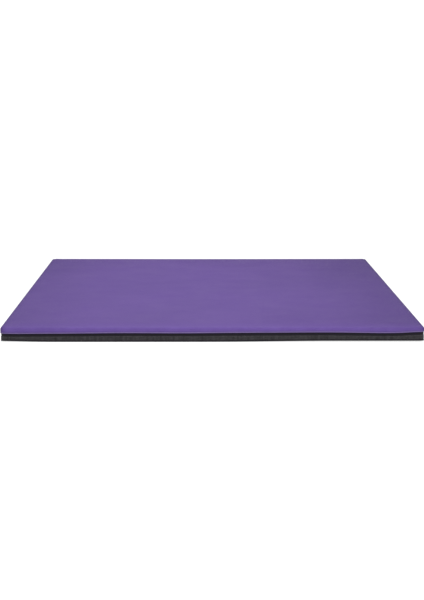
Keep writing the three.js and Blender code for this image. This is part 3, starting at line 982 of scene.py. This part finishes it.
# Share of a tooth's length, then its half width and half depth in mm.
TOOTH = ((0, 0.35, 0.6), (0.1, 0.58, 1.0), (0.35, 0.5, 1.05), (0.85, 0.55, 1.0), (1, 0.35, 0.6))
TOOTH_ANGLES = np.arange(8) * math.pi / 4
CORDED = 0.86  # share of the tape's height up to its corded edge
CORD_BULGE = 0.25 * MM
PATCH_LINES = np.array([-1, -0.97, -0.88, -0.6, -0.2, 0.2, 0.6, 0.88, 0.97, 1])  # shares of its half size
PATCH_TURN = 0.8 * MM  # how far a patch's outer face turns down at its edge
PATCH_STITCHES = 0.76  # the sewn square's share of a patch's size


def make_zip_side(word, up):
    """One side of the zip: its tape with a corded edge, and its row of teeth."""
    low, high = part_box(f"zip_tape_{word}")
    xs = np.linspace(low[0], high[0], 160)
    wave = 0.12 * MM * ripple(xs * 30, xs * 0, 3.0 * up)
    near, far = sorted((low[2], high[2]), key=lambda z: abs(z - ZIP_Z))
    back, face = low[1], high[1]
    cord = far + (near - far) * CORDED
    middle = (face + CORD_BULGE, (cord + near) / 2)
    section = [(back, far), (face, far), (face, cord), middle, (face, near), (back, near)]
    tape = bar([np.column_stack([xs, y + wave, np.full(len(xs), z)]) for y, z in section])
    piece(f"zip_tape_{word}_woven", tape, "zip tape", uv=tape[0][:, ::2])

    low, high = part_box(f"zip_coil_{word}")
    count = int((high[0] - low[0]) / TOOTH_PITCH)
    starts = low[0] + TOOTH_PITCH * (np.arange(count) + (0.75 if up > 0 else 0.25))
    tip, root = ZIP_Z - up * TOOTH_TIP, ZIP_Z + up * TOOTH_ROOT
    teeth = [tooth(x, tip, root, (low[1] + high[1]) / 2) for x in starts]
    piece(f"zip_coil_{word}_teeth", joined(teeth), "zip coil")


def tooth(x, tip, root, y):
    """A bent nylon filament: a short leaning bar with a fatter head."""
    rings = []
    for t, wide, deep in TOOTH:
        ring_x = x + wide * MM * np.cos(TOOTH_ANGLES) + TOOTH_LEAN * t
        ring_y = y + deep * MM * np.sin(TOOTH_ANGLES)
        rings.append(np.column_stack([ring_x, ring_y, np.full(8, tip + (root - tip) * t)]))
    return tube(rings)


def make_end_patch(word):
    """A doubled patch of cloth with turned edges, sewn over the zip's end."""
    name = f"zip_end_patch_{word}"
    low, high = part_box(name)
    middle, half = (np.array(low) + high) / 2, (np.array(high) - low) / 2
    u, v = (g.ravel() for g in np.meshgrid(PATCH_LINES, PATCH_LINES))
    edge = np.maximum(np.abs(u), np.abs(v))
    x = middle[0] + half[0] * u * np.sqrt(1 - 0.06 * v**2)
    z = middle[2] + half[2] * v * np.sqrt(1 - 0.04 * u**2)
    lump = 0.15 * MM * ripple(x * 90, z * 90, 2.0)
    outer = high[1] - PATCH_TURN * smooth((edge - 0.86) / 0.14) + lump * (edge < 0.9)
    inner = np.full(len(x), low[1] - 0.2 * MM)
    n, side = len(PATCH_LINES), len(x)
    faces, rim = grid_faces(n, n), grid_rim(n, n)
    faces += [tuple(side + i for i in f) for f in faces]
    faces += [(a, b, side + b, side + a) for a, b in zip(rim, rim[1:] + rim[:1])]
    shape = np.concatenate([np.column_stack([x, y, z]) for y in (outer, inner)])
    patch = piece(name + "_cloth", (shape, faces), "cloth", uv=shape[:, ::2])
    loop = [middle + half * PATCH_STITCHES * (a, 0, b) + (0, half[1], 0) for a, b in SQUARE]
    stitching(f"stitches_{name}", list(zip(loop, loop[1:] + loop[:1])), patch)


make_zip_side("upper", 1)
make_zip_side("lower", -1)
make_end_patch("left")
make_end_patch("right")
for node_name in ("zip_slider", "zip_pull", "zip_stop_left", "zip_stop_right"):
    slots = frame["nodes"][node_name].data.materials
    slots.clear()
    slots.append(MATERIALS["zip metal"])

# ---- carry handles

SPAN, DROP = 170 * MM, 85 * MM  # between the legs' middles, and from hinge to grip
LEG, GRIP, BEND = 32 * MM, 18 * MM, 24 * MM  # the strap's width at legs and grip, and its inner bend
HANG = math.radians(2.5)  # how far it hangs from the wall
WEBBING = 2.4 * MM
BUCKLE = 0.7 * MM  # how far the strap stands out where it is bent on its flat
# The strap's outer face and section, in shares of half its width and thickness.
STRAP_FACE = [(-1, 0.4), (-0.96, 0.85), (-0.88, 1), (-0.45, 0.9), (0, 0.86)]
STRAP_FACE += [(-w, t) for w, t in STRAP_FACE[-2::-1]]
STRAP_SECTION = [(-1, -0.4), *STRAP_FACE, *((w, -t) for w, t in STRAP_FACE[:0:-1])]

SLEEVE_HALF = 42 * MM
SLEEVE_LINES = np.array([0, 0.4, 1.2, 2.6]) * MM  # close rings at each rolled end
SLEEVE_OUTER, SLEEVE_INNER = np.array([4.1, 11.4]) * MM, np.array([1.75, 9.6]) * MM  # half depth and width
SLEEVE_COLLAR = np.array([0.8, 1.0]) * MM  # how far its ends stand proud of its ribs
RIBBED, RIB, RIB_PITCH = 34 * MM, 0.55 * MM, 6 * MM
OVAL_POWER = 0.62  # below 1: squarer than an ellipse

TAB_BOX = (48 * MM, 9 * MM)  # the sewn box on a tab, below the hinge line
TAB_BOX_HALF = 11.5 * MM


def half_strap(tab_out, tab_length):
    """Half a strap, as (along the mat, out, down, half width, turn of the width) from its hinge line.

    It climbs from the tab's foot, folds over outwards, hangs down and turns in to the grip.
    """
    side, half = SPAN / 2, LEG / 2
    fold = -tab_out / 2
    frames = [(side, tab_out, v, half, 0.0) for v in np.linspace(tab_length - 0.5 * MM, fold, 12)]
    for a in np.linspace(0, math.pi, 9)[1:-1]:
        frames.append((side, -fold - fold * math.cos(a), fold - fold * math.sin(a), half, 0.0))
    bend_u, bend_v = side - half - BEND, DROP - GRIP / 2 - BEND
    for v in np.linspace(fold, bend_v, 9):
        frames.append((side, v * math.sin(HANG), v * math.cos(HANG), half, 0.0))
    reach_u, reach_v = BEND + half, BEND + GRIP / 2
    for a in np.linspace(0, math.pi / 2, 15)[1:]:
        u, v = bend_u + reach_u * math.cos(a), bend_v + reach_v * math.sin(a)
        narrow = half + (GRIP / 2 - half) * smooth(a / (math.pi / 2))
        buckle = BUCKLE * math.sin(2 * a) ** 2
        frames.append((u, v * math.sin(HANG) + buckle, v * math.cos(HANG), narrow, a))
    for u in np.linspace(bend_u, 0, 6)[1:]:
        frames.append((u, DROP * math.sin(HANG), DROP * math.cos(HANG), GRIP / 2, math.pi / 2))
    return np.array(frames)


def strap_shape(side, hinge, tab_out, tab_length):
    """The whole strap and its UV map."""
    half = half_strap(tab_out, tab_length)
    other = half[:-1][::-1] * (-1, 1, 1, 1, -1)
    u, out, down, width, turn = np.concatenate([half, other]).T
    centre = np.column_stack([side * out, u, -down])
    flip = np.where(u == 0, 1, np.sign(u))
    across = np.column_stack([np.zeros(len(u)), flip * np.cos(turn), -np.abs(np.sin(turn))])
    along = unit(np.gradient(centre, axis=0))
    across = unit(across - along * np.sum(across * along, axis=1)[:, None])
    thick = np.cross(along, across)
    far = way_along(centre)
    lines, uv = [], []
    for w, t in STRAP_SECTION:
        lines.append(hinge + centre + across * (w * width)[:, None] + thick * t * WEBBING / 2)
        uv.append(np.column_stack([far, w * width]))
    return bar(lines), np.concatenate(uv)


def sleeve_size(y):
    """The sleeve's half depth and half width at y: ribbed, with proud and rolled ends."""
    end = smooth((SLEEVE_HALF - abs(y)) / (3 * MM))
    ribs = RIB * math.cos(2 * math.pi * y / RIB_PITCH) * smooth((RIBBED - abs(y)) / (3 * MM))
    return (SLEEVE_OUTER + SLEEVE_COLLAR * end * (abs(y) > RIBBED) + ribs) * (0.86 + 0.14 * end)


def sleeve_shape(side, hinge):
    """A moulded grip: an oval sleeve round the narrow webbing."""
    ends = SLEEVE_LINES - SLEEVE_HALF
    ys = np.concatenate([ends, np.linspace(-36, 36, 73) * MM, -ends[::-1]])
    angles = np.arange(28) * 2 * math.pi / 28
    deep, wide = (np.sign(c) * np.abs(c) ** OVAL_POWER for c in (np.cos(angles), np.sin(angles)))
    mouth = SLEEVE_HALF - 0.4 * MM
    sizes = [(y, sleeve_size(y)) for y in ys] + [(y, SLEEVE_INNER) for y in (mouth, 0.0, -mouth)]
    out_axis = np.array([side * math.cos(HANG), 0, math.sin(HANG)])
    down_axis = np.array([side * math.sin(HANG), 0, -math.cos(HANG)])
    middle = hinge + DROP * down_axis
    rings = [
        middle + (0, y, 0) + np.outer(deep * size[0], out_axis) + np.outer(wide * size[1], down_axis)
        for y, size in sizes
    ]
    return loft(rings, closed=True, wrap=True)


def tab_guides(y, hinge_z, face):
    """The lines of the sewn box and cross on a tab."""
    low, high = (hinge_z - down for down in TAB_BOX)
    near, far = y - TAB_BOX_HALF, y + TAB_BOX_HALF
    corners = [(near, low), (far, low), (far, high), (near, high)]
    lines = [*zip(corners, corners[1:] + corners[:1]), corners[::2], corners[1::2]]
    return [[(face, *a), (face, *b)] for a, b in lines]


def make_handle(name):
    """One strap that bends across the hinge, its grip, and the tabs' stitching."""
    side = 1 if "right" in name else -1
    hinge = np.array(next(j for j in frame["joints"] if j["child"] == name)["pos_m"])
    low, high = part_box(f"{name}_tab_low")
    tab_x = (low[0] + high[0]) / 2
    shape, uv = strap_shape(side, hinge, side * (tab_x - hinge[0]), high[2] - low[2])
    nodes = [f"{name}_loop", f"{name}_tab_low", f"{name}_tab_high"]
    strap = piece(f"{name}_strap", shape, "webbing", body=None, stands_for=nodes, uv=uv)
    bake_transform(strap)
    piece(f"{name}_sleeve", sleeve_shape(side, hinge), "rubber", name, [f"{name}_grip"])
    outer = tab_x + side * WEBBING / 2
    guides = [g for end in (-1, 1) for g in tab_guides(hinge[1] + end * SPAN / 2, hinge[2], outer)]
    stitching(f"stitches_{name}", guides, strap)


for body_name in sorted(b for b in frame["bodies"] if b.startswith("handle")):
    make_handle(body_name)

# ---- camera, light and floor

LENS, SENSOR = 84.7, 36  # mm
CAMERA_PLACE = (-48 * MM, -5.9545, 0.278)
CAMERA_DOWN, CAMERA_RIGHT = 1.455, 0.515  # degrees below level, and right of straight up the slope
FLOOR_HALF, FLOOR_GREY, FLOOR_GLOW = 60, 0.33, 0.75
SKY = 1.12


def make_camera():
    data = bpy.data.cameras.new("camera")
    data.lens, data.sensor_width = LENS, SENSOR
    camera = in_scene("camera", data)
    camera.location = CAMERA_PLACE
    camera.rotation_euler = (math.radians(90 - CAMERA_DOWN), 0, math.radians(-CAMERA_RIGHT))
    bpy.context.scene.camera = camera


def area_light(name, place, target, size, power):
    """A softbox that looks at a target."""
    data = bpy.data.lights.new(name, "AREA")
    data.shape = "RECTANGLE"
    data.size, data.size_y = size
    data.energy = power
    light = in_scene(name, data)
    light.location = place
    light.rotation_euler = (Vector(target) - Vector(place)).to_track_quat("-Z", "Y").to_euler()


def make_floor():
    """A pale floor that glows a little, so that shadows on it stay faint."""
    mesh = bpy.data.meshes.new("floor")
    mesh.from_pydata([(FLOOR_HALF * x, FLOOR_HALF * y, 0) for x, y in SQUARE], [], [(0, 1, 2, 3)])
    floor = in_scene("floor", mesh)
    floor.location.z = -0.3 * MM
    material = bpy.data.materials.new("floor")
    material.use_nodes = True
    shader = material.node_tree.nodes["Principled BSDF"]
    set_inputs(shader, Base_Color=rgb(*[FLOOR_GREY] * 3), Roughness=0.9, Specular_IOR_Level=0.0)
    set_inputs(shader, Emission_Color=rgb(1, 1, 1), Emission_Strength=FLOOR_GLOW)
    mesh.materials.append(material)


def make_world():
    world = bpy.data.worlds.new("studio")
    world.use_nodes = True
    set_inputs(world.node_tree.nodes["Background"], Color=rgb(1, 1, 1), Strength=SKY)
    bpy.context.scene.world = world
    bpy.context.scene.view_settings.view_transform = "Standard"


make_camera()
make_floor()
make_world()
area_light("key", (-0.2, -0.35, 1.5), (-0.2, -0.25, 0.1), (0.9, 2.8), 25)
area_light("front fill", (0.8, -4.6, 1.3), (0.1, -0.9, 0.05), (2.6, 1.2), 84)

# ---- finish

bpy.context.view_layer.update()
